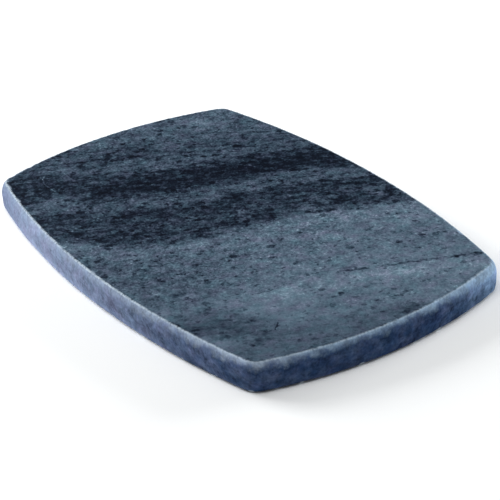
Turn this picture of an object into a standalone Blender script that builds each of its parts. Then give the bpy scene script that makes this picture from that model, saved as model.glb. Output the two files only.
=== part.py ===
"""Flat massage stone: one honed slab, ground to a pillow outline with soft edges.

Metres, +Z up. The origin is the centre of the underside. X runs along the stone's
length and Y across its width. The stone is a single solid piece with nothing fitted to it.
"""

import math

import bmesh
import bpy

# The slab at its widest.
LENGTH = 0.150
WIDTH = 0.102
THICKNESS = 0.009

# The outline: every side swells outwards as one shallow arc, and an arc joins it to the next.
END_BOW = 0.0074
SIDE_BOW = 0.0084
CORNER_RADIUS = 0.0065

# The rims: the top one is only broken, the foot is rounded a little further.
TOP_ROUNDING = 0.0019
FOOT_ROUNDING = 0.0022
ROUNDING_SEGMENTS = 4

# The most that one straight run turns where it stands in for a stretch of arc.
SIDE_STEP = math.radians(1.7)
CORNER_STEP = math.radians(9.0)

# Faces that meet at less than FLAT_ANGLE are one face, and past SHARP_ANGLE they share a rim.
FLAT_ANGLE = math.radians(0.1)
SHARP_ANGLE = math.radians(45.0)
WELD_DISTANCE = 0.00001

STONE_COLOUR = (0.066, 0.094, 0.130, 1.0)
STONE_ROUGHNESS = 0.62


def clear_scene():
    for obj in list(bpy.data.objects):
        bpy.data.objects.remove(obj, do_unlink=True)


def parts_collection():
    collection = bpy.data.collections.new("massage_stone_parts")
    bpy.context.scene.collection.children.link(collection)
    return collection


def bowed_arc(half_chord, crown, bow):
    """Radius of an arc that rises by bow over its chord to the crown, and its centre's place."""
    radius = (half_chord**2 + bow**2) / (2.0 * bow)
    return radius, crown - radius


def arc_points(centre, radius, start, end, step):
    """Points from angle start to angle end, leaving out the last one."""
    count = max(2, math.ceil(abs(end - start) / step))
    points = []
    for index in range(count):
        angle = start + (end - start) * index / count
        points.append((centre[0] + radius * math.cos(angle), centre[1] + radius * math.sin(angle)))
    return points


def outline_points():
    """The outline anticlockwise from the middle of the +X end."""
    corner_x = LENGTH / 2.0 - END_BOW
    corner_y = WIDTH / 2.0 - SIDE_BOW
    side_radius, side_centre = bowed_arc(corner_x, WIDTH / 2.0, SIDE_BOW)
    end_radius, end_centre = bowed_arc(corner_y, LENGTH / 2.0, END_BOW)

    # A corner's centre lies one corner radius inside both of the arcs that it joins.
    to_end = end_radius - CORNER_RADIUS
    to_side = side_radius - CORNER_RADIUS
    apart = math.hypot(end_centre, side_centre)
    along = (to_end**2 - to_side**2 + apart**2) / (2.0 * apart)
    aside = math.sqrt(to_end**2 - along**2)
    unit_x = -end_centre / apart
    unit_y = side_centre / apart
    corner = (end_centre + unit_x * along - unit_y * aside, unit_y * along + unit_x * aside)

    end_angle = math.atan2(corner[1], corner[0] - end_centre)
    side_angle = math.atan2(corner[1] - side_centre, corner[0])
    quarter = arc_points((end_centre, 0.0), end_radius, 0.0, end_angle, SIDE_STEP)
    quarter += arc_points(corner, CORNER_RADIUS, end_angle, side_angle, CORNER_STEP)
    quarter += arc_points((0.0, side_centre), side_radius, side_angle, math.pi / 2.0, SIDE_STEP)
    quarter.append((0.0, WIDTH / 2.0))

    mirrored = [(-x, y) for x, y in reversed(quarter[:-1])]
    half = quarter + mirrored
    return half + [(x, -y) for x, y in reversed(half[1:-1])]


def slab_curve(points):
    """The outline as a filled 2D curve, extruded to the slab's thickness."""
    curve = bpy.data.curves.new("slab_outline", "CURVE")
    curve.dimensions = "2D"
    curve.fill_mode = "BOTH"
    curve.extrude = THICKNESS / 2.0
    spline = curve.splines.new("POLY")
    spline.points.add(len(points) - 1)
    for point, (x, y) in zip(spline.points, points):
        point.co = (x, y, 0.0, 1.0)
    spline.use_cyclic_u = True
    slab = bpy.data.objects.new("slab_outline", curve)
    slab.location.z = THICKNESS / 2.0
    return slab


def weigh_rims(shape):
    """Gives the edges of both rims the share of the widest rounding that each one takes."""
    weight = shape.edges.layers.float.new("bevel_weight_edge")
    widest = max(TOP_ROUNDING, FOOT_ROUNDING)
    for edge in shape.edges:
        if edge.calc_face_angle(0.0) < SHARP_ANGLE:
            continue
        on_top = edge.verts[0].co.z > 0.0
        edge[weight] = (TOP_ROUNDING if on_top else FOOT_ROUNDING) / widest


def mesh_from_curve(slab, name, collection):
    """The curve's evaluated shape as a mesh object, with its loose caps welded on."""
    collection.objects.link(slab)
    bpy.context.view_layer.update()
    evaluated = slab.evaluated_get(bpy.context.evaluated_depsgraph_get())
    mesh = bpy.data.meshes.new_from_object(evaluated)
    mesh.name = name
    piece = bpy.data.objects.new(name, mesh)
    piece.matrix_world = slab.matrix_world
    collection.objects.link(piece)
    bpy.data.objects.remove(slab, do_unlink=True)

    shape = bmesh.new()
    shape.from_mesh(mesh)
    bmesh.ops.remove_doubles(shape, verts=shape.verts, dist=WELD_DISTANCE)
    flat = [edge for edge in shape.edges if edge.calc_face_angle(0.0) < FLAT_ANGLE]
    bmesh.ops.dissolve_edges(shape, edges=flat, use_verts=False)
    weigh_rims(shape)
    shape.to_mesh(mesh)
    shape.free()
    return piece


def round_rims(piece):
    bevel = piece.modifiers.new("rim_rounding", "BEVEL")
    bevel.limit_method = "WEIGHT"
    bevel.offset_type = "OFFSET"
    bevel.width = max(TOP_ROUNDING, FOOT_ROUNDING)
    bevel.segments = ROUNDING_SEGMENTS
    bevel.use_clamp_overlap = False


def stone_material():
    material = bpy.data.materials.new("honed_stone")
    material.use_nodes = True
    shader = material.node_tree.nodes["Principled BSDF"]
    shader.inputs["Base Color"].default_value = STONE_COLOUR
    shader.inputs["Roughness"].default_value = STONE_ROUGHNESS
    shader.inputs["Metallic"].default_value = 0.0
    return material


def massage_stone(collection):
    piece = mesh_from_curve(slab_curve(outline_points()), "massage_stone", collection)
    round_rims(piece)
    piece.data.materials.append(stone_material())
    piece.data.shade_smooth()
    piece.data.set_sharp_from_angle(angle=SHARP_ANGLE)
    return piece


clear_scene()
massage_stone(parts_collection())
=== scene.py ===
"""Looks of the flat massage stone: one honed slab of dark banded stone with ground, worn edges.

All lengths are in metres in the row frame, unless a name ends in _mm. The stone's relief is real
geometry: the shoulders, the worn arris, the chips and the hand-ground walls. Its bands, flecks,
seam, scratches and grain are procedural nodes on the stone's own coordinates.
"""

import math

import bpy
import numpy as np
from mathutils import Matrix, Vector, geometry, noise


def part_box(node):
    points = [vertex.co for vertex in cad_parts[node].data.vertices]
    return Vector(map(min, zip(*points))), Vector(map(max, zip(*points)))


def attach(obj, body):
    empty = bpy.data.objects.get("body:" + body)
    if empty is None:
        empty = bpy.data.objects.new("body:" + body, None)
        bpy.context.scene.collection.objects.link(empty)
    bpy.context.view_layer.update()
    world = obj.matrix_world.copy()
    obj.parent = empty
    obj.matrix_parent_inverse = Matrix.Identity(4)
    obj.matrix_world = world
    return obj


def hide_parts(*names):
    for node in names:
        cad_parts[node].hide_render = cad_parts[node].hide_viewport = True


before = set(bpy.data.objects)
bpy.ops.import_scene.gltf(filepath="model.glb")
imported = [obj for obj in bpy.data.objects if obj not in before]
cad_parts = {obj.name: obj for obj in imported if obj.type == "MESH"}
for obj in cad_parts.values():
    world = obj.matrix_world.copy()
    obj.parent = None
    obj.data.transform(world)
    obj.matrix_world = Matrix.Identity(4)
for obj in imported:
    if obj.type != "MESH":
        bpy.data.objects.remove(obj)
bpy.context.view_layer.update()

MM = 0.001
NODE = "massage_stone"

# ---------------------------------------------------------------- the stone's shape

END_BOW = 7.4 * MM
SIDE_BOW = 8.4 * MM
CORNER_RADIUS = 6.5 * MM

# The wall's section: it is widest at SHOULDER_SHARE of the thickness, leans in above that as a
# shoulder and tucks under below it as a foot. Both are superellipse quarters.
SHOULDER_SHARE = 0.61
SHOULDER_INSET = 1.65 * MM
SHOULDER_POWER = 1.6
FOOT_INSET = 1.55 * MM
FOOT_POWER = 3.7

# How far the arris is rubbed down where it is fresh and where it is worn.
FRESH_BLUR = 0.10 * MM
WORN_BLUR = 0.42 * MM

# The walls are ground by hand: broad waves, smaller dents and a fine grit that is deepest at the
# edges. Each has the size of its features, then how deep they go.
WAVE_SIZE, WAVE_DEPTH = 22.0 * MM, 0.10 * MM
DENT_SIZE, DENT_DEPTH = 4.5 * MM, 0.05 * MM
GRIT_SIZE, FACE_GRIT, WALL_GRIT, EDGE_GRIT = 0.9 * MM, 0.012 * MM, 0.03 * MM, 0.05 * MM

# The waves and dents fade out this near an edge, and the deeper grit reaches this far from one.
WALL_ONSET = 0.5 * MM
EDGE_SPREAD = 0.45 * MM

# Small chips are broken out of both rims.
CHIP_SEED = 41
CHIPS_PER_RIM = 80
TOP_CHIP_DEPTH = 0.15 * MM
FOOT_CHIP_DEPTH = 0.28 * MM

# How far in over the faces the rim's section runs, and how closely the mesh is spaced: around the
# stone, along the section at its edges, wall and faces, and inside the top face and the base.
RIM_REACH = 5.2 * MM
COLUMN_STEP = 0.40 * MM
RIM_STEP = 0.24 * MM
WALL_STEP = 0.44 * MM
FACE_STEP = 0.62 * MM
TOP_SPACING = 1.1 * MM
BASE_SPACING = 2.4 * MM


def bowed_arc(half_chord, crown, bow):
    """Radius of an arc that rises by bow over its chord to the crown, and its centre's place."""
    radius = (half_chord**2 + bow**2) / (2.0 * bow)
    return radius, crown - radius


def outline(length, width):
    """Points, outward normals and running length around the widest outline, anticlockwise."""
    corner_x = length / 2.0 - END_BOW
    corner_y = width / 2.0 - SIDE_BOW
    side_radius, side_centre = bowed_arc(corner_x, width / 2.0, SIDE_BOW)
    end_radius, end_centre = bowed_arc(corner_y, length / 2.0, END_BOW)
    to_end = end_radius - CORNER_RADIUS
    to_side = side_radius - CORNER_RADIUS
    apart = math.hypot(end_centre, side_centre)
    along = (to_end**2 - to_side**2 + apart**2) / (2.0 * apart)
    aside = math.sqrt(to_end**2 - along**2)
    unit = np.array([-end_centre, side_centre]) / apart
    corner = np.array([end_centre, 0.0]) + unit * along + np.array([-unit[1], unit[0]]) * aside
    low = math.atan2(corner[1], corner[0] - end_centre)
    high = math.atan2(corner[1] - side_centre, corner[0])
    arcs = [
        ((end_centre, 0.0), end_radius, -low, low),
        ((corner[0], corner[1]), CORNER_RADIUS, low, high),
        ((0.0, side_centre), side_radius, high, math.pi - high),
        ((-corner[0], corner[1]), CORNER_RADIUS, math.pi - high, math.pi - low),
        ((-end_centre, 0.0), end_radius, math.pi - low, math.pi + low),
        ((-corner[0], -corner[1]), CORNER_RADIUS, math.pi + low, math.pi + high),
        ((0.0, -side_centre), side_radius, math.pi + high, 2.0 * math.pi - high),
        ((corner[0], -corner[1]), CORNER_RADIUS, -high, -low),
    ]
    points, normals = [], []
    for centre, radius, start, end in arcs:
        count = max(8, round(radius * (end - start) / COLUMN_STEP))
        for index in range(count):
            angle = start + (end - start) * index / count
            normal = np.array([math.cos(angle), math.sin(angle)])
            points.append(np.array(centre) + radius * normal)
            normals.append(normal)
    points = np.array(points)
    steps = np.linalg.norm(np.roll(points, -1, axis=0) - points, axis=1)
    run = np.concatenate([[0.0], np.cumsum(steps)])
    return points, np.array(normals), run[:-1], run[-1]


def section(thickness):
    """The wall's section as fine points (inset, height), from inside the top face to the base."""
    waist = SHOULDER_SHARE * thickness
    quarter = np.linspace(0.0, math.pi / 2.0, 200)
    near, far = np.cos(quarter), np.sin(quarter)
    shoulder = np.column_stack([
        SHOULDER_INSET * (1.0 - far ** (2.0 / SHOULDER_POWER)),
        waist + (thickness - waist) * near ** (2.0 / SHOULDER_POWER),
    ])
    foot = np.column_stack([
        FOOT_INSET * (1.0 - near ** (2.0 / FOOT_POWER)),
        waist * (1.0 - far ** (2.0 / FOOT_POWER)),
    ])
    line = np.vstack([[RIM_REACH, thickness], shoulder, foot[1:], [RIM_REACH, 0.0]])
    steps = np.linalg.norm(np.diff(line, axis=0), axis=1)
    run = np.concatenate([[0.0], np.cumsum(steps)])
    even = np.linspace(0.0, run[-1], 1200)
    return np.column_stack([np.interp(even, run, line[:, 0]), np.interp(even, run, line[:, 1])]), even


def blurred(line, even, width):
    """The section with its edges rubbed down by a Gaussian of this width, its ends kept."""
    step = even[1] - even[0]
    reach = int(4.0 * width / step)
    kernel = np.exp(-0.5 * (np.arange(-reach, reach + 1) * step / width) ** 2)
    kernel /= kernel.sum()
    padded = np.vstack([
        2.0 * line[0] - line[reach:0:-1],
        line,
        2.0 * line[-1] - line[-2:-reach - 2:-1],
    ])
    return np.column_stack([np.convolve(padded[:, axis], kernel, "valid") for axis in (0, 1)])


def section_rows(line, even):
    """The stations along the section at which the mesh has a row: closest at its two edges."""
    edges = [even[np.argmax(line[:, 0] < SHOULDER_INSET - 1e-6)]]
    edges.append(even[len(even) - np.argmax(line[::-1, 0] < FOOT_INSET - 1e-6)])
    stations, at = [0.0], 0.0
    while at < even[-1]:
        from_edge = min(abs(at - edge) for edge in edges)
        if from_edge < 1.7 * MM:
            step = RIM_STEP
        elif edges[0] < at < edges[1]:
            step = WALL_STEP
        else:
            step = FACE_STEP
        at += step
        stations.append(min(at, even[-1]))
    return np.array(stations), edges


def fractal(points, size, octaves=3, offset=0.0):
    """Smooth noise of about -1 to 1 at each point, with features of this size."""
    shift = Vector((offset, offset * 1.7, offset * 0.6))
    return np.array([
        noise.fractal(Vector(point) / size + shift, 0.9, 2.1, octaves) for point in points
    ])


def chips(rng, perimeter, edges):
    """Chips as (running length, station, half width, half height, depth)."""
    found = []
    for edge, most in zip(edges, (TOP_CHIP_DEPTH, FOOT_CHIP_DEPTH)):
        for _ in range(CHIPS_PER_RIM):
            size = rng.random() ** 5
            half = (0.30 + 1.0 * size) * MM
            station = edge + rng.normal(0.0, 0.22) * MM
            found.append((
                rng.random() * perimeter, station, half * rng.uniform(0.8, 1.7),
                half * rng.uniform(0.5, 0.8), most * (0.35 + 0.65 * size),
            ))
    return found


def stone_shape(low, high):
    """The rim's grid of places, from the top face down to the base, and what each place is like."""
    size = high - low
    base, normals, run, perimeter = outline(size.x, size.y)
    line, even = section(size.z)
    stations, edges = section_rows(line, even)
    fresh = blurred(line, even, FRESH_BLUR)
    worn = blurred(line, even, WORN_BLUR)

    def at_stations(profile):
        return np.column_stack([np.interp(stations, even, profile[:, axis]) for axis in (0, 1)])

    fresh, worn = at_stations(fresh), at_stations(worn)
    columns, rows = len(base), len(stations)

    # How worn the edges are differs along the stone.
    ring = np.column_stack([base, np.zeros(columns)])
    wear = 0.55 + 0.45 * fractal(ring, 9.0 * MM) + 0.25 * fractal(ring, 1.6 * MM, offset=7.0)
    wear = np.clip(wear, 0.05, 1.0)[None, :, None]
    flat = fresh[:, None, :] * (1.0 - wear) + worn[:, None, :] * wear
    inset, height = flat[..., 0], flat[..., 1]
    places = np.empty((rows, columns, 3))
    places[..., :2] = base[None] - normals[None] * inset[..., None]
    places[..., 2] = height + low.z

    # The wall's outward direction at each row, from the worn section's slope.
    slope = np.gradient(worn, axis=0)
    out = np.column_stack([slope[:, 1], slope[:, 0]])
    out /= np.linalg.norm(out, axis=1)[:, None]
    outward = np.empty_like(places)
    outward[..., :2] = normals[None] * -out[:, 0][:, None, None]
    outward[..., 2] = -out[:, 1][:, None]

    on_wall = np.clip((stations - edges[0]) / WALL_ONSET, 0.0, 1.0)
    on_wall *= np.clip((edges[1] - stations) / WALL_ONSET, 0.0, 1.0)
    near_edge = np.maximum(
        np.exp(-(((stations - edges[0]) / EDGE_SPREAD) ** 2)),
        0.8 * np.exp(-(((stations - edges[1]) / EDGE_SPREAD) ** 2)),
    )
    spots = places.reshape(-1, 3)
    hollow = np.zeros((rows, columns))
    waves = fractal(spots, WAVE_SIZE, 2).reshape(rows, columns)
    dents = fractal(spots, DENT_SIZE, 2, 3.0).reshape(rows, columns)
    grit = fractal(spots, GRIT_SIZE, 2, 11.0).reshape(rows, columns)
    hollow += on_wall[:, None] * (WAVE_DEPTH * (1.0 - waves) + DENT_DEPTH * (1.0 - dents))
    grit_depth = FACE_GRIT + WALL_GRIT * on_wall + EDGE_GRIT * near_edge
    hollow += grit_depth[:, None] * (1.0 - grit)

    rng = np.random.default_rng(CHIP_SEED)
    broken = np.zeros((rows, columns))
    for where, station, half_width, half_height, depth in chips(rng, perimeter, edges):
        aside = (run - where + perimeter / 2.0) % perimeter - perimeter / 2.0
        reach = (aside[None] / half_width) ** 2 + ((stations[:, None] - station) / half_height) ** 2
        bite = np.clip(1.0 - reach, 0.0, 1.0) ** 0.7
        hollow += depth * bite
        broken = np.maximum(broken, bite)

    # Nothing swells past the widest outline or the faces' own planes.
    places -= outward * np.maximum(hollow, 0.0)[..., None]
    fields = {
        "worn": np.repeat(wear[..., 0], rows, axis=0),
        "chipped": broken,
        "below_rim": np.repeat((stations - edges[0])[:, None] / MM, columns, axis=1),
        "above_foot": np.repeat((edges[1] - stations)[:, None] / MM, columns, axis=1),
    }
    return places, fields


def face_fill(ring, spacing):
    """Triangles that fill a closed ring, with even points inside it."""
    low, high = ring.min(axis=0), ring.max(axis=0)
    edge = np.roll(ring, -1, axis=0) - ring
    inward = np.column_stack([-edge[:, 1], edge[:, 0]])
    inward /= np.linalg.norm(inward, axis=1)[:, None]
    inner = []
    row_step = spacing * math.sqrt(3.0) / 2.0
    for row in range(1, int((high[1] - low[1]) / row_step) + 1):
        y = low[1] + row * row_step
        shift = 0.5 * spacing * (row % 2)
        for column in range(int((high[0] - low[0]) / spacing) + 1):
            point = np.array([low[0] + shift + column * spacing, y])
            # The outline is convex, so the least distance inside its edge lines tells.
            if ((point - ring) * inward).sum(axis=1).min() > 0.7 * spacing:
                inner.append(point)
    points = np.vstack([ring, np.array(inner)])
    count = len(ring)
    links = [(index, (index + 1) % count) for index in range(count)]
    filled = geometry.delaunay_2d_cdt([Vector(p) for p in points], links, [], 1, 1e-7)
    if len(filled[0]) != len(points):
        raise ValueError("the face's fill added or dropped a point")
    order = np.array([old[0] for old in filled[3]])
    return points[count:], [tuple(int(order[v]) for v in face) for face in filled[2]]


def stone_mesh(low, high):
    """The whole stone as one closed mesh with smooth shading."""
    rim, fields = stone_shape(low, high)
    rows, columns = rim.shape[:2]
    vertices = rim.reshape(-1, 3)
    index = np.arange(rows * columns).reshape(rows, columns)
    after = np.roll(index, -1, axis=1)
    faces = np.stack([index[:-1], index[1:], after[1:], after[:-1]], axis=-1).reshape(-1, 4).tolist()
    values = {name: field.ravel() for name, field in fields.items()}
    for row, spacing, face_up in ((0, TOP_SPACING, True), (rows - 1, BASE_SPACING, False)):
        ring = rim[row]
        inner, triangles = face_fill(ring[:, :2], spacing)
        level = ring[:, 2].mean()
        start = len(vertices)
        spots = np.column_stack([inner, np.full(len(inner), level)])
        vertices = np.vstack([vertices, spots])
        ids = np.concatenate([index[row], np.arange(start, start + len(inner))])
        for a, b, c in triangles:
            triangle = (int(ids[a]), int(ids[b]), int(ids[c]))
            faces.append(triangle if face_up else triangle[::-1])
        for name, field in fields.items():
            values[name] = np.concatenate([values[name], np.full(len(inner), field[row].mean())])

    mesh = bpy.data.meshes.new("stone")
    mesh.from_pydata(vertices.tolist(), [], faces)
    for name, value in values.items():
        mesh.attributes.new(name, "FLOAT", "POINT").data.foreach_set("value", value)
    mesh.shade_smooth()
    return mesh


# ---------------------------------------------------------------- node helpers


def make(tree, kind, inputs=None, **settings):
    """A new node, with its inputs set to a value or linked to a socket."""
    new = tree.nodes.new(kind)
    for key, value in settings.items():
        setattr(new, key, value)
    for key, value in (inputs or {}).items():
        if isinstance(value, bpy.types.NodeSocket):
            tree.links.new(value, new.inputs[key])
        else:
            new.inputs[key].default_value = value
    return new


def maths(tree, operation, *values, clamp=False):
    return make(tree, "ShaderNodeMath", dict(enumerate(values)), operation=operation,
                use_clamp=clamp).outputs[0]


def product(tree, first, *others):
    for other in others:
        first = maths(tree, "MULTIPLY", first, other)
    return first


def added(tree, total, *terms):
    """The total plus each (value, amount) term's value times its amount."""
    for value, amount in terms:
        total = maths(tree, "MULTIPLY_ADD", value, amount, total)
    return total


def vector_maths(tree, operation, *values):
    return make(tree, "ShaderNodeVectorMath", dict(enumerate(values)), operation=operation)


def fade(tree, value, start, end, low=0.0, high=1.0):
    """Smoothly from low to high as value goes from start to end."""
    inputs = {"Value": value, "From Min": start, "From Max": end, "To Min": low, "To Max": high}
    return make(tree, "ShaderNodeMapRange", inputs, interpolation_type="SMOOTHSTEP").outputs[0]


def blend(tree, factor, first, second, mode="MIX"):
    inputs = {0: factor, 6: first, 7: second}
    return make(tree, "ShaderNodeMix", inputs, data_type="RGBA", blend_type=mode).outputs[2]


def ramp(tree, value, stops, interpolation="LINEAR"):
    """A colour ramp whose stops are (place, grey or colour)."""
    new = make(tree, "ShaderNodeValToRGB", {0: value})
    band = new.color_ramp
    band.interpolation = interpolation
    while len(band.elements) < len(stops):
        band.elements.new(0.5)
    for element, (place, colour) in zip(band.elements, stops):
        element.position = place
        element.color = (colour,) * 3 + (1.0,) if isinstance(colour, float) else (*colour, 1.0)
    return new.outputs[0]


def stretched(tree, vector, across_mm, along_mm, depth_mm):
    """Coordinates in which a feature of these sizes is one unit across."""
    return vector_maths(tree, "DIVIDE", vector, (across_mm, along_mm, depth_mm)).outputs[0]


def clouds(tree, vector, detail=2.0, roughness=0.5, offset=0.0):
    """Noise around 0, mostly within -0.5 to 0.5."""
    moved = vector_maths(tree, "ADD", vector, (offset, offset, offset)).outputs[0]
    inputs = {"Vector": moved, "Scale": 1.0, "Detail": detail, "Roughness": roughness}
    return maths(tree, "SUBTRACT", make(tree, "ShaderNodeTexNoise", inputs).outputs[0], 0.5)


def jitter(tree, vector, scale, detail):
    """A smooth random vector, with each part mostly within -0.5 to 0.5."""
    inputs = {"Vector": vector, "Scale": scale, "Detail": detail}
    waves = make(tree, "ShaderNodeTexNoise", inputs).outputs["Color"]
    return vector_maths(tree, "SUBTRACT", waves, (0.5, 0.5, 0.5)).outputs[0]


def flecks(tree, vector, radius, share, offset=0.0):
    """1 inside scattered specks, for this share of the cells that each hold one."""
    moved = vector_maths(tree, "ADD", vector, (offset, offset, offset)).outputs[0]
    cells = make(tree, "ShaderNodeTexVoronoi", {"Vector": moved, "Scale": 1.0, "Randomness": 1.0})
    chance = make(tree, "ShaderNodeSeparateColor", {0: cells.outputs["Color"]})
    size = maths(tree, "MULTIPLY", chance.outputs[1], radius)
    size = maths(tree, "ADD", size, radius * 0.4)
    inside = fade(tree, maths(tree, "DIVIDE", cells.outputs["Distance"], size), 1.0, 0.55)
    chosen = maths(tree, "LESS_THAN", chance.outputs[0], share)
    return maths(tree, "MULTIPLY", inside, chosen)


def srgb(red, green, blue):
    """A display colour of 0 to 255 as linear light."""
    values = (red / 255.0, green / 255.0, blue / 255.0)
    return tuple(v / 12.92 if v < 0.04045 else ((v + 0.055) / 1.055) ** 2.4 for v in values)


# ---------------------------------------------------------------- the stone's material

# The foliation: bands run along one heading on the face, and the layers dip through the slab.
FOLIATION_ANGLE = math.radians(26.5)
FOLIATION_DIP = 0.55

# Lightness across the bands, as (millimetres across from the middle, tone).
BAND_REACH_MM = 90.0
BANDS = [
    (-84.0, 0.59), (-70.0, 0.55), (-62.0, 0.50), (-52.0, 0.40), (-44.0, 0.44), (-39.5, 0.27),
    (-36.0, 0.16), (-31.0, 0.13), (-27.5, 0.27), (-23.5, 0.47), (-19.5, 0.46), (-15.5, 0.28),
    (-9.0, 0.33), (-5.0, 0.36), (-1.9, 0.31), (0.8, 0.44), (4.0, 0.71), (9.5, 0.72), (14.0, 0.67),
    (27.0, 0.69), (36.0, 0.72), (44.0, 0.80), (51.0, 0.71), (58.0, 0.70), (64.0, 0.57),
    (84.0, 0.48),
]

# The stone's colours from its darkest bands to its palest grains.
TONE_LOW = -0.25
TONE_HIGH = 1.10
TONES = [
    (-0.25, srgb(4, 10, 22)), (-0.05, srgb(11, 20, 33)), (0.10, srgb(22, 32, 45)),
    (0.25, srgb(35, 47, 61)), (0.45, srgb(54, 68, 82)), (0.65, srgb(73, 89, 104)),
    (0.85, srgb(92, 110, 125)), (1.10, srgb(126, 145, 160)),
]

# A wall's ground skin goes from bare stone to pale powder, which are also painted shade toward the +X
# end and painted light toward the -X end. The other colours are what the stone is rubbed to, with
# painted light: the wall at the corner of the +X and +Y sides (painted light), the shoulder and the
# shoulder along the -Y side (wear and a painted highlight), and the arris itself (pale powder and a
# painted highlight).
BARE_WALL_PAINTED_SHADE = (0.020, 0.042, 0.100, 1.0)
POWDER_WALL_PAINTED_LIGHT = (0.205, 0.248, 0.360, 1.0)
CORNER_PAINTED_LIGHT = (0.215, 0.330, 0.510, 1.0)
SHOULDER_WEAR_PAINTED_HIGHLIGHT = (0.26, 0.37, 0.50, 1.0)
SIDE_WEAR_PAINTED_HIGHLIGHT = (0.31, 0.38, 0.48, 1.0)
PALE_POWDER_PAINTED_HIGHLIGHT = (0.50, 0.59, 0.67, 1.0)

# How rough the honed face is where it is dark and where it is pale, and the ground walls.
DARK_ROUGHNESS = 0.66
PALE_ROUGHNESS = 0.80
WALL_ROUGHNESS = 0.92
STONE_SPECULAR = 0.035

# Lighter and darker patches on the top face, as (x, y, radius across the layers, radius along
# them, tone), in millimetres.
PATCHES = [
    (-60.0, 29.0, 3.5, 6.0, 0.18), (-50.0, -9.0, 2.5, 4.0, 0.12), (17.0, 24.0, 5.0, 9.0, 0.10),
    (31.0, 34.0, 5.0, 7.0, 0.10), (44.0, -13.0, 3.5, 5.0, 0.12), (54.5, 18.0, 2.8, 17.0, 0.12),
    (42.0, -42.0, 9.0, 16.0, -0.34), (54.0, -32.0, 7.0, 11.0, -0.20),
    (-52.5, -38.5, 8.0, 6.0, 0.16), (-54.5, -22.0, 4.0, 6.0, 0.08), (-48.0, -27.0, 7.0, 13.0, 0.10),
    (-20.5, -21.0, 3.0, 10.0, -0.12), (-11.2, -28.0, 2.2, 14.0, -0.14),
    (71.0, 7.0, 3.5, 9.0, -0.14), (-44.0, -31.0, 5.0, 14.0, 0.06), (-58.5, 2.0, 7.0, 10.0, -0.14),
    (-51.0, -2.0, 3.5, 8.0, 0.10), (-12.5, 8.5, 3.5, 7.0, -0.12), (42.0, -28.0, 5.0, 7.0, -0.08),
    (11.6, 43.0, 4.0, 6.0, 0.16), (-56.6, 1.4, 1.2, 1.6, -0.34), (-23.5, 19.0, 0.9, 1.3, -0.26),
    (-14.8, -8.0, 1.0, 1.3, -0.28), (2.0, 5.8, 1.1, 1.9, -0.28), (18.4, 3.0, 0.8, 1.1, -0.30),
    (60.0, 41.0, 1.1, 1.5, -0.30), (-21.5, -40.5, 1.8, 2.6, -0.24), (26.0, -36.8, 1.6, 2.4, -0.22),
    (30.8, -29.0, 1.1, 2.0, -0.22), (14.6, 45.5, 2.0, 2.8, -0.24), (10.0, 31.0, 2.6, 4.0, -0.16),
]

# Thin marks on the top face, as (start, end, half width, tone), in millimetres.
MARKS = [
    ((-61.0, -29.6), (-59.2, -31.6), 0.32, 0.46), ((-59.2, -31.6), (-55.4, -32.8), 0.32, 0.46),
    ((-55.4, -32.8), (-49.0, -32.9), 0.30, 0.46), ((-66.0, -23.6), (-52.0, -24.6), 0.36, 0.20),
    ((-70.0, -4.5), (-60.0, -9.5), 0.34, 0.18),
    ((54.5, -24.3), (57.1, -27.1), 0.36, -0.45), ((38.6, -21.5), (40.1, -15.5), 0.32, -0.34),
]

# A dashed dark seam between two layers, as (start, end), in millimetres.
SEAM = ((43.5, 4.0), (60.5, 42.0))
SEAM_HALF_WIDTH = 0.85
SEAM_TONE = -0.46


def foliation(tree):
    """Millimetres from the top face's middle, and the same across, along and up the layers."""
    place = make(tree, "ShaderNodeTexCoord").outputs["Object"]
    top = (0.0, 0.0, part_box(NODE)[1].z)
    lowered = vector_maths(tree, "SUBTRACT", place, top).outputs[0]
    place_mm = vector_maths(tree, "MULTIPLY", lowered, (1.0 / MM,) * 3).outputs[0]
    cosine, sine = math.cos(FOLIATION_ANGLE), math.sin(FOLIATION_ANGLE)
    across = vector_maths(tree, "DOT_PRODUCT", place_mm, (cosine, -sine, FOLIATION_DIP))
    along = vector_maths(tree, "DOT_PRODUCT", place_mm, (sine, cosine, 0.0))
    up = vector_maths(tree, "DOT_PRODUCT", place_mm, (0.0, 0.0, 1.0))
    inputs = {0: across.outputs["Value"], 1: along.outputs["Value"], 2: up.outputs["Value"]}
    return place_mm, make(tree, "ShaderNodeCombineXYZ", inputs).outputs[0]


def in_layers(x, y):
    """A place on the top face as the layers' own coordinates."""
    cosine, sine = math.cos(FOLIATION_ANGLE), math.sin(FOLIATION_ANGLE)
    return (x * cosine - y * sine, x * sine + y * cosine, 0.0)


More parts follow.
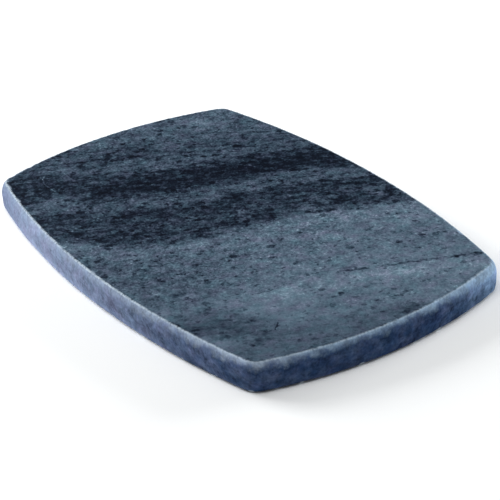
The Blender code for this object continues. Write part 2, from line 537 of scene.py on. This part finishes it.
def band_tone(tree, layers):
    """The broad light and dark bands, with feathered edges."""
    across, along, _ = make(tree, "ShaderNodeSeparateXYZ", {0: layers}).outputs
    sway = clouds(tree, stretched(tree, layers, 26.0, 48.0, 30.0), 1.0, offset=2.3)
    feather = clouds(tree, stretched(tree, layers, 4.5, 14.0, 6.0), 4.0, 0.65, offset=5.1)
    # The bands bend on their way to the -Y side, and the second one widens toward the +Y side.
    bend = maths(tree, "ADD", fade(tree, along, 22.0, -20.0, 0.0, -8.0),
                 fade(tree, along, -32.0, -50.0, 0.0, 6.5))
    bend = product(tree, bend, fade(tree, across, -12.0, 2.0, 0.68, 1.06))
    spread = product(tree, fade(tree, along, 2.0, 26.0, 0.0, 1.8), fade(tree, across, -14.0, -3.0))
    bend = maths(tree, "ADD", bend, spread)
    bent = maths(tree, "ADD", across, bend)
    bent = added(tree, bent, (sway, 5.0), (feather, 9.5))
    inputs = {"Value": bent, "From Min": -BAND_REACH_MM, "From Max": BAND_REACH_MM}
    share = make(tree, "ShaderNodeMapRange", inputs).outputs[0]
    stops = [((mm + BAND_REACH_MM) / (2.0 * BAND_REACH_MM), tone) for mm, tone in BANDS]
    tone = ramp(tree, share, stops, "EASE")
    # The pale field beside them is darker toward the -Y side.
    darker = product(tree, fade(tree, along, -32.0, 22.0, -0.145, 0.0),
                     fade(tree, bent, 0.0, 12.0), fade(tree, bent, 40.0, 34.0))
    return maths(tree, "ADD", tone, darker)


def patch_tone(tree, layers, tone):
    """Adds the patches, with ragged outlines."""
    shift = jitter(tree, layers, 0.55, 3.0)
    for x, y, across, along, amount in PATCHES:
        spread = min(across, 5.0)
        moved = vector_maths(tree, "MULTIPLY", shift, (spread * 1.6,) * 3).outputs[0]
        moved = vector_maths(tree, "ADD", layers, moved).outputs[0]
        away = vector_maths(tree, "SUBTRACT", moved, in_layers(x, y)).outputs[0]
        away = vector_maths(tree, "DIVIDE", away, (across, along, 3.0 * across)).outputs[0]
        reach = vector_maths(tree, "LENGTH", away).outputs["Value"]
        tone = maths(tree, "ADD", tone, fade(tree, reach, 1.25, 0.2, 0.0, amount))
    return tone


def stroke(tree, place_mm, start, end, half_width):
    """1 along a straight line on the top face, fading out at this half width."""
    start, end = Vector((*start, 0.0)), Vector((*end, 0.0))
    run = end - start
    away = vector_maths(tree, "SUBTRACT", place_mm, tuple(start)).outputs[0]
    share = vector_maths(tree, "DOT_PRODUCT", away, tuple(run / run.length_squared))
    share = maths(tree, "ADD", share.outputs["Value"], 0.0, clamp=True)
    foot = make(tree, "ShaderNodeCombineXYZ", {0: share, 1: share, 2: share}).outputs[0]
    foot = vector_maths(tree, "MULTIPLY", foot, tuple(run)).outputs[0]
    gap = vector_maths(tree, "DISTANCE", away, foot).outputs["Value"]
    return fade(tree, gap, half_width, 0.3 * half_width)


def mark_tone(tree, place_mm, layers, tone):
    """Adds the scratches and the dashed seam."""
    shift = jitter(tree, place_mm, 0.5, 2.0)
    moved = vector_maths(tree, "MULTIPLY_ADD", shift, (1.5, 1.5, 0.0), place_mm).outputs[0]
    patchy = fade(tree, clouds(tree, stretched(tree, place_mm, 0.9, 0.9, 0.9)), -0.20, -0.04)
    for start, end, half_width, amount in MARKS:
        line = product(tree, stroke(tree, moved, start, end, half_width), patchy)
        tone = added(tree, tone, (line, amount))
    dashes = clouds(tree, stretched(tree, layers, 1.1, 2.6, 2.0), 2.0, offset=21.0)
    seam = stroke(tree, moved, *SEAM, SEAM_HALF_WIDTH)
    seam = product(tree, seam, fade(tree, dashes, -0.05, 0.05, 0.12, 1.0))
    return added(tree, tone, (seam, SEAM_TONE))


def point_value(tree, name):
    """A value that the mesh carries at its points."""
    return make(tree, "ShaderNodeAttribute", attribute_name=name).outputs["Fac"]


def wall_colour(tree, place_mm, colour, tinting, mottle, grain):
    """The ground, powdery wall and its rubbed rim over the stone's colour, with painted light, shade
    and highlights, and their mask.
    """
    below, above = point_value(tree, "below_rim"), point_value(tree, "above_foot")
    worn, chipped = point_value(tree, "worn"), point_value(tree, "chipped")
    x, y, _ = make(tree, "ShaderNodeSeparateXYZ", {0: place_mm}).outputs
    patches = clouds(tree, stretched(tree, place_mm, 5.0, 5.0, 3.5), 4.0, 0.65, offset=40.0)
    streaks = clouds(tree, stretched(tree, place_mm, 1.5, 1.5, 3.6), 3.0, 0.6, offset=50.0)

    # Powder thickens toward the -X end, but is thinner at the end itself and on the +Y side. This is
    # also painted light: paler where light falls on the -Y side toward -X, painted shade toward the
    # +X end, and less pale where the lamps light the wall most.
    powder_and_painted_light = product(tree, fade(tree, x, 92.0, -52.0), fade(tree, y, 5.0, 45.0, 1.0, 0.6))
    powder_and_painted_light = maths(tree, "MULTIPLY_ADD", patches, 0.7, powder_and_painted_light, clamp=True)
    powder_and_painted_light = product(tree, powder_and_painted_light, fade(tree, x, -66.0, -38.0, 0.70, 1.0))
    wall = blend(tree, powder_and_painted_light, BARE_WALL_PAINTED_SHADE, POWDER_WALL_PAINTED_LIGHT)

    # Painted light: the corner of the +X and +Y sides is painted a bright blue, where light from the
    # +Y side falls on it.
    corner = product(tree, fade(tree, y, 8.0, 42.0), fade(tree, x, 30.0, 62.0))
    corner_painted_light_share = product(tree, added(tree, corner, (patches, 0.8), (streaks, 0.6)), corner)
    corner_painted_light_share = maths(tree, "MULTIPLY", corner_painted_light_share, fade(tree, below, 7.0, 1.5, 0.45, 0.95), clamp=True)
    wall = blend(tree, corner_painted_light_share, wall, CORNER_PAINTED_LIGHT)

    # Streaks, mottling and grain shade the skin, most at the +X end. Low on the walls it is paler:
    # dust and painted bounce light from the floor.
    light = added(tree, product(tree, mottle, 2.0), (streaks, 0.9))
    light = product(tree, light, fade(tree, x, -45.0, 40.0, 0.35, 1.0))
    light = added(tree, light, (patches, 0.35), (grain, 1.2))
    light = maths(tree, "ADD", light, 1.0)
    dust_and_painted_bounce = product(tree, fade(tree, above, 5.0, 0.8), fade(tree, x, 60.0, 10.0))
    light = added(tree, light, (dust_and_painted_bounce, fade(tree, x, -70.0, -15.0, 0.3, 0.6)))
    light = maths(tree, "MAXIMUM", light, 0.15)
    shades = make(tree, "ShaderNodeCombineXYZ", {0: light, 1: light, 2: light}).outputs[0]
    wall = blend(tree, 0.5, blend(tree, 1.0, wall, shades, "MULTIPLY"), tinting, "MULTIPLY")
    skin = product(tree, fade(tree, below, -0.05, 0.35), fade(tree, above, -0.3, 0.4))
    colour = blend(tree, skin, colour, wall)

    # The rubbing runs down the wall unevenly, furthest at the bright corner. It is stronger toward
    # the +X end, and a paler grey on the -Y side. Beside the wear, this band is a painted highlight
    # where the shoulder faces the light.
    side = fade(tree, y, -20.0, -44.0)
    end = fade(tree, x, 5.0, 66.0)
    ragged = added(tree, product(tree, patches, 6.0), (streaks, 2.4), (mottle, 2.0),
                   (corner, -1.2), (side, -0.4))
    shoulder = fade(tree, maths(tree, "ADD", below, ragged), 2.6, -0.5)
    shoulder = product(tree, shoulder, added(tree, 0.50, (end, 0.45)),
                       fade(tree, below, -0.25, 0.1), fade(tree, x, -78.0, -28.0, 0.5, 1.0))
    shoulder = maths(tree, "MAXIMUM", shoulder, product(tree, chipped, 0.6))
    wear_and_painted_highlight = blend(tree, side, SHOULDER_WEAR_PAINTED_HIGHLIGHT, SIDE_WEAR_PAINTED_HIGHLIGHT)
    wear_and_painted_highlight = blend(tree, 0.75, wear_and_painted_highlight, shades, "MULTIPLY")
    colour = blend(tree, shoulder, colour, wear_and_painted_highlight)

    # The arris itself is a thin, broken, pale line: pale crushed stone and a painted highlight.
    arris_wear_and_painted_highlight = product(
        tree,
        fade(tree, maths(tree, "ABSOLUTE", below), 0.55, 0.15),
        fade(tree, grain, -0.14, 0.06, 0.25, 0.95),
        fade(tree, patches, -0.16, 0.14, 0.45, 1.0),
        fade(tree, worn, 0.0, 0.7, 0.45, 1.0),
        added(tree, 1.0, (end, -0.55)),
    )

    # Loose powder is caught at the foot.
    crumbs = flecks(tree, stretched(tree, place_mm, 2.2, 2.2, 2.2), 0.40, 0.46, 60.0)
    crumbs = product(tree, crumbs, fade(tree, above, 2.2, 1.0), fade(tree, above, -0.5, 0.1))
    powder_and_painted_highlight = maths(tree, "MAXIMUM", arris_wear_and_painted_highlight, crumbs)
    colour = blend(tree, powder_and_painted_highlight, colour, PALE_POWDER_PAINTED_HIGHLIGHT)
    return colour, maths(tree, "MAXIMUM", skin, powder_and_painted_highlight)


def stone_material():
    material = bpy.data.materials.new("honed_banded_stone")
    material.use_nodes = True
    tree = material.node_tree
    shader = tree.nodes["Principled BSDF"]
    shader.inputs["Specular IOR Level"].default_value = STONE_SPECULAR
    place_mm, layers = foliation(tree)

    cloudy = clouds(tree, stretched(tree, layers, 7.0, 11.0, 8.0), 3.0, 0.55, offset=9.0)
    mottle = clouds(tree, stretched(tree, layers, 2.4, 2.8, 2.5), 3.0, 0.6, offset=1.7)
    grain = clouds(tree, stretched(tree, layers, 0.7, 0.7, 0.7), 2.0, 0.6, offset=4.4)
    wisps = clouds(tree, stretched(tree, layers, 1.4, 11.0, 4.0), 3.0, 0.6, offset=14.0)
    spots = clouds(tree, stretched(tree, layers, 2.3, 2.9, 2.4), 3.0, 0.55, offset=17.0)
    shift = jitter(tree, layers, 0.9, 2.0)
    warped = vector_maths(tree, "MULTIPLY_ADD", shift, (2.0, 2.0, 2.0), layers).outputs[0]

    tone = patch_tone(tree, layers, band_tone(tree, layers))
    tone = added(tree, tone, (cloudy, 0.30))
    banded = fade(tree, tone, 0.62, 0.38, 0.25, 1.0)
    tone = added(tree, tone, (product(tree, wisps, banded), 0.60))

    # Dark bands are the most crowded with spots and flecks.
    bias = added(tree, -0.10, (tone, 0.38))
    dark_spots = fade(tree, maths(tree, "ADD", spots, bias), 0.07, -0.07)
    crowded = fade(tree, tone, 0.70, 0.35, 0.30, 0.95)
    large = flecks(tree, stretched(tree, warped, 3.0, 3.7, 3.2), 0.32, crowded, 3.0)
    small = flecks(tree, stretched(tree, warped, 1.5, 1.8, 1.6), 0.34, 0.46, 8.0)
    glints = flecks(tree, stretched(tree, warped, 1.2, 1.2, 1.2), 0.30, 0.26, 12.0)

    # The face is rubbed smoother toward the +X end, and most at its -Y corner.
    x, y, _ = make(tree, "ShaderNodeSeparateXYZ", {0: place_mm}).outputs
    corner = fade(tree, maths(tree, "SUBTRACT", x, y), 46.0, 86.0, 1.0, 0.60)
    strength = product(tree, corner, fade(tree, x, 15.0, 55.0, 1.0, 0.85))
    texture = product(tree, grain, fade(tree, x, 15.0, 50.0, 1.12, 0.80))
    texture = added(tree, texture, (mottle, 0.80), (dark_spots, -0.24), (large, -0.38),
                    (small, -0.34), (glints, 0.26))
    tone = added(tree, tone, (texture, strength))
    tone = mark_tone(tree, place_mm, layers, tone)
    inputs = {"Value": tone, "From Min": TONE_LOW, "From Max": TONE_HIGH}
    stops = [((at - TONE_LOW) / (TONE_HIGH - TONE_LOW), shade) for at, shade in TONES]
    colour = ramp(tree, make(tree, "ShaderNodeMapRange", inputs).outputs[0], stops)

    tint = clouds(tree, stretched(tree, layers, 4.2, 5.4, 4.5), 3.0, 0.65, offset=30.0)
    tinting = ramp(tree, maths(tree, "ADD", tint, 0.5), [
        (0.30, (1.15, 0.94, 1.02)), (0.5, (1.01, 0.995, 1.0)), (0.70, (0.88, 1.03, 1.0)),
    ])
    colour = blend(tree, 1.0, colour, tinting, "MULTIPLY")

    colour, skin = wall_colour(tree, place_mm, colour, tinting, mottle, grain)
    rough = fade(tree, tone, 0.1, 0.9, DARK_ROUGHNESS, PALE_ROUGHNESS)
    rough = maths(tree, "MAXIMUM", rough, product(tree, skin, WALL_ROUGHNESS))

    height = added(tree, product(tree, grain, 0.045), (mottle, 0.040), (small, -0.030))
    bump = make(tree, "ShaderNodeBump", {"Strength": 1.0, "Distance": MM, "Height": height})

    tree.links.new(colour, shader.inputs["Base Color"])
    tree.links.new(rough, shader.inputs["Roughness"])
    tree.links.new(bump.outputs[0], shader.inputs["Normal"])
    return material


# ---------------------------------------------------------------- the studio

CAMERA_AZIMUTH = math.radians(56.1)
CAMERA_ELEVATION = math.radians(29.3)
CAMERA_DISTANCE = 0.528
CAMERA_ROLL = math.radians(2.75)
CAMERA_TARGET = Vector((4.6, 1.3, 0.0)) * MM
CAMERA_LENS = 129.3


def direction(azimuth, elevation):
    """Unit vector to something seen at this azimuth, where 0 is at -Y and 90 degrees at +X."""
    return Vector((
        math.sin(azimuth) * math.cos(elevation),
        -math.cos(azimuth) * math.cos(elevation),
        math.sin(elevation),
    ))


def add_camera():
    camera = bpy.data.objects.new("camera", bpy.data.cameras.new("camera"))
    camera.data.lens = CAMERA_LENS
    camera.data.sensor_width = 36.0
    camera.data.clip_start = 0.01
    camera.data.clip_end = 20.0
    back = direction(CAMERA_AZIMUTH, CAMERA_ELEVATION)
    camera.location = CAMERA_TARGET + back * CAMERA_DISTANCE
    turn = back.to_track_quat("Z", "Y").to_matrix()
    camera.rotation_euler = (turn @ Matrix.Rotation(-CAMERA_ROLL, 3, "Z")).to_euler()
    bpy.context.scene.collection.objects.link(camera)
    bpy.context.scene.camera = camera


# Each softbox as (name, azimuth, elevation, distance, width, height, power, colour).
SOFTBOXES = [
    ("left_back", -65.0, 22.0, 0.80, 0.50, 0.40, 8.2, (0.97, 0.985, 1.0)),
    ("right_back", 174.0, 14.0, 0.80, 0.50, 0.30, 6.6, (0.95, 0.975, 1.0)),
    ("overhead", 30.0, 70.0, 0.90, 0.60, 0.60, 3.6, (0.97, 0.99, 1.0)),
]
WORLD_COLOUR = (0.96, 0.98, 1.0, 1.0)
WORLD_STRENGTH = 0.22


def add_softbox(name, azimuth, elevation, distance, width, height, power, colour):
    """A rectangular area light that faces the stone."""
    light = bpy.data.lights.new(name, "AREA")
    light.shape = "RECTANGLE"
    light.size = width
    light.size_y = height
    light.energy = power
    light.color = colour
    softbox = bpy.data.objects.new(name, light)
    toward = direction(math.radians(azimuth), math.radians(elevation))
    softbox.location = toward * distance
    softbox.rotation_euler = toward.to_track_quat("Z", "Y").to_euler()
    bpy.context.scene.collection.objects.link(softbox)


def add_lights():
    for softbox in SOFTBOXES:
        add_softbox(*softbox)
    world = bpy.data.worlds.new("studio")
    world.use_nodes = True
    background = world.node_tree.nodes["Background"]
    background.inputs["Color"].default_value = WORLD_COLOUR
    background.inputs["Strength"].default_value = WORLD_STRENGTH
    bpy.context.scene.world = world


FLOOR_SIZE = 6.0
FLOOR_GAP = 0.2 * MM
FLOOR_COLOUR = (0.94, 0.935, 0.925, 1.0)


def add_floor():
    bpy.ops.mesh.primitive_plane_add(size=FLOOR_SIZE, location=(0.0, 0.0, -FLOOR_GAP))
    floor = bpy.context.object
    floor.name = "floor"
    material = bpy.data.materials.new("pale_paper")
    material.use_nodes = True
    shader = material.node_tree.nodes["Principled BSDF"]
    shader.inputs["Base Color"].default_value = FLOOR_COLOUR
    shader.inputs["Roughness"].default_value = 0.9
    shader.inputs["Specular IOR Level"].default_value = 0.1
    floor.data.materials.append(material)


# ---------------------------------------------------------------- the scene


def add_stone():
    low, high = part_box(NODE)
    stone = bpy.data.objects.new("stone", stone_mesh(low, high))
    stone.data.materials.append(stone_material())
    bpy.context.scene.collection.objects.link(stone)
    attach(stone, "root")
    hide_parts(NODE)


add_camera()
add_stone()
add_floor()
add_lights()
bpy.context.scene.view_settings.view_transform = "Standard"
